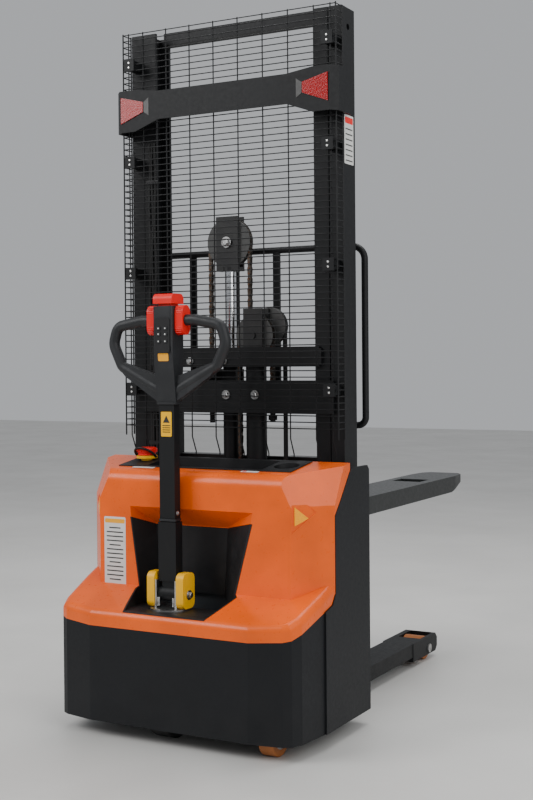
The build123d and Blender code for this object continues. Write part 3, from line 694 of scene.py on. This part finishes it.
def reflector_end_highlights():
    """Flat grey wedges at the inner ends of the red reflectors: a painted highlight where the chamfered
    ends catch the light.
    """
    face = low("reflector_panel").y
    trim = Mesh()
    for side in (-1, 1):
        outer, inner = side * 0.268, side * 0.250
        wedge = [(outer, 0.0), (inner, -0.012), (inner, 0.042), (outer, 0.03)]
        # painted highlight: a flat grey sheet stands for the lit chamfer at each inner end
        trim.slab(wedge, (0, face - 0.001, 1.804), X, Z, Y * 0.002)
    made = trim.piece("reflector_painted_highlights", [SHEAVE])
    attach(made, "chassis")


reflector_end_highlights()


def mast_cables():
    """The lift sensor's cables, clipped down the inside of the left outer rail."""
    rail = low("outer_rails")
    cable = Mesh()
    for offset in (0.0, 0.009, 0.018):
        points = []
        for k in range(40):
            z = 1.72 - k * 0.03
            sway = math.sin(k * 0.7 + offset * 300) * 0.002
            points.append((rail.x + 0.066 + offset + sway, rail.y - 0.007, z))
        cable.tube(points, 0.0038, 10)
    for z in (1.6, 1.2, 0.8):
        cable.slab(rounded(0.036, 0.012, 0.003), (rail.x + 0.075, rail.y - 0.013, z),
                   X, Z, Y * 0.012, 1)
    made = cable.piece("mast_cables", [RUBBER, BLACK])
    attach(made, "chassis")


mast_cables()


def mast_tag():
    """A pale tag with a red head on the right rail's outer side."""
    side = high("outer_rails").x
    middle = centre("outer_rails").y
    tag = Mesh()
    tag.slab(rounded(0.06, 0.14, 0.003), (side + 0.0002, middle, 1.68), Y, Z, X * 0.0008)
    tag.slab(rounded(0.052, 0.018, 0.002), (side + 0.001, middle, 1.735), Y, Z, X * PRINT, 1)
    for z in (1.71, 1.695, 1.68, 1.665, 1.65, 1.635, 1.62):
        tag.slab(rounded(0.046, 0.0035, 0.001), (side + 0.001, middle, z), Y, Z, X * PRINT, 2)
    made = tag.piece("mast_tag", [PALE, RED, INK])
    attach(made, "chassis")


mast_tag()


def wheel_hubs():
    """Bearing caps in the load wheels and the castor, and a rim ring on the drive wheel."""
    for node in ("load_wheel_left", "load_wheel_right", "castor_wheel", "drive_wheel"):
        middle, half = centre(node), (high(node).x - low(node).x) / 2
        radius = (high(node).z - low(node).z) / 2
        hub_piece = Mesh()
        for side in (-1, 1):
            base = middle + X * side * (half - 0.002)
            hub_piece.turned([(radius * 0.62, 0), (radius * 0.62, 0.0025), (radius * 0.56, 0.0032),
                              (radius * 0.45, 0.0016), (radius * 0.3, 0.0016)], base, X * side, 40)
        made = hub_piece.piece(node + "_hub", [STEEL])
        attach(made, node)


wheel_hubs()

# ---- floor, light and camera ----


def floor():
    """A pale, faintly clouded floor under the part."""
    recipe = Recipe("pale_floor")
    clouds = recipe.ranged(recipe.noise(1.2, 8), 0.35, 0.7, 0, 1)
    recipe.colour(recipe.mixed(clouds, (0.62, 0.61, 0.585), (0.7, 0.69, 0.665)))
    recipe.roughness(recipe.noise(5, 6), 0.35, 0.5)
    recipe.bump(recipe.noise(120), 0.05)
    ground = Mesh()
    corners = [(-14, -14, 0), (14, -14, 0), (14, 14, 0), (-14, 14, 0)]
    ground.add(corners, [(0, 1, 2, 3)])
    made = ground.piece("floor", [recipe.material], False)


def area_light(name, place, target, size, power):
    """A square light at a place, facing a target."""
    data = bpy.data.lights.new(name, "AREA")
    data.size = size
    data.energy = power
    lamp = bpy.data.objects.new(name, data)
    lamp.location = place
    lamp.rotation_euler = (Vector(target) - Vector(place)).to_track_quat("-Z", "Y").to_euler()
    bpy.context.scene.collection.objects.link(lamp)


def camera():
    """The viewing angle: low, from the front right corner, turned by the yaw and nearly level."""
    data = bpy.data.cameras.new("camera")
    data.lens = 56.74
    data.sensor_width = 36
    data.shift_y = -0.0339
    view = bpy.data.objects.new("camera", data)
    yaw, pitch, roll = math.radians(28.71), math.radians(-0.61), math.radians(-0.46)
    turn = (Matrix.Rotation(yaw, 4, "Z") @ Matrix.Rotation(math.pi / 2 + pitch, 4, "X")
            @ Matrix.Rotation(roll, 4, "Z"))
    view.matrix_world = Matrix.Translation((1.8857, -3.6729, 1.0534)) @ turn
    bpy.context.scene.collection.objects.link(view)
    bpy.context.scene.camera = view


floor()
area_light("key", (-2.6, -3.6, 3.6), (0, -0.3, 0.9), 2.5, 125)
area_light("fill", (3.8, -2.2, 2.6), (0, -0.2, 0.8), 3.0, 85)
area_light("top", (0.3, 0.8, 4.4), (0, -0.2, 0.6), 3.0, 120)
camera()
world = bpy.data.worlds.new("room")
world.use_nodes = True
world.node_tree.nodes["Background"].inputs["Color"].default_value = (0.82, 0.84, 0.87, 1)
world.node_tree.nodes["Background"].inputs["Strength"].default_value = 0.55
bpy.context.scene.world = world
